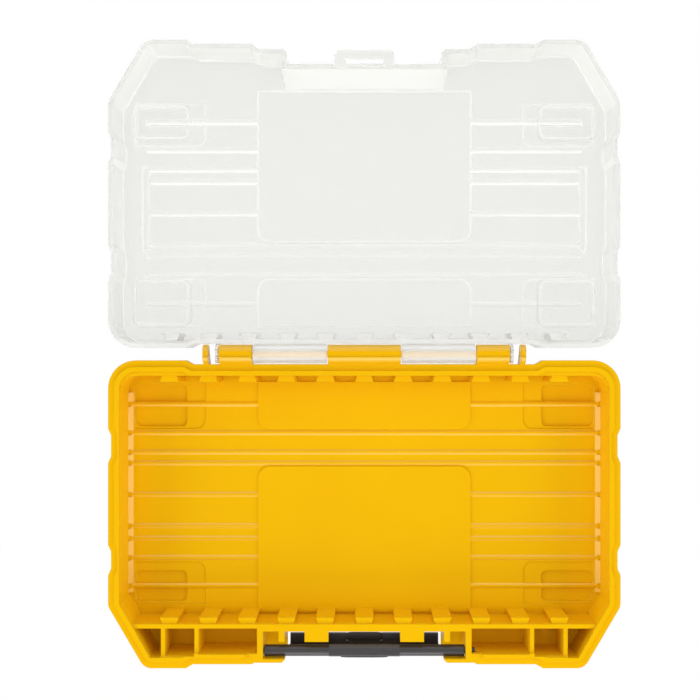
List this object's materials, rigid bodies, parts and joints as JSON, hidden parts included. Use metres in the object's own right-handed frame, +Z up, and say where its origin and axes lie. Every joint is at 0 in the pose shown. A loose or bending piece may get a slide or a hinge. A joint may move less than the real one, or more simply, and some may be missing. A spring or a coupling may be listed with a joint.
{
  "type": "hinged bit storage case",
  "caption": "Shallow two-part moulded case for driver bits: ribbed tray, clear hinged lid that opens flat, and a swinging bar latch that hooks the lid's front tab.",
  "frame": {"origin": "on the table under the middle of the hinge axis, with the case open flat", "axes": "+X along the hinge to the right, +Y towards the opened lid, +Z up; the latch is at the -Y end"},
  "size_m": [0.24, 0.2944, 0.0292],
  "materials": {
    "tray_plastic": "fine moulded texture",
    "lid_plastic": "clear moulded",
    "latch_plastic": "satin moulded",
    "pin_steel": "drawn wire"
  },
  "bodies": {
    "base": {"base_tray": "tray_plastic", "hinge_pin": "pin_steel", "latch_pin": "latch_plastic"},
    "lid": {"lid_shell": "lid_plastic"},
    "latch": {"latch_bar": "latch_plastic"}
  },
  "joints": [
    {"name": "lid_hinge", "type": "hinge", "parent": "base", "child": "lid", "pos_m": [0, 0, 0.025], "axis": [1, 0, 0], "range_deg": [0, 180]},
    {"name": "latch_pivot", "type": "hinge", "parent": "base", "child": "latch", "pos_m": [0, -0.1398, 0.0205], "axis": [-1, 0, 0], "range_deg": [0, 180]}
  ]
}
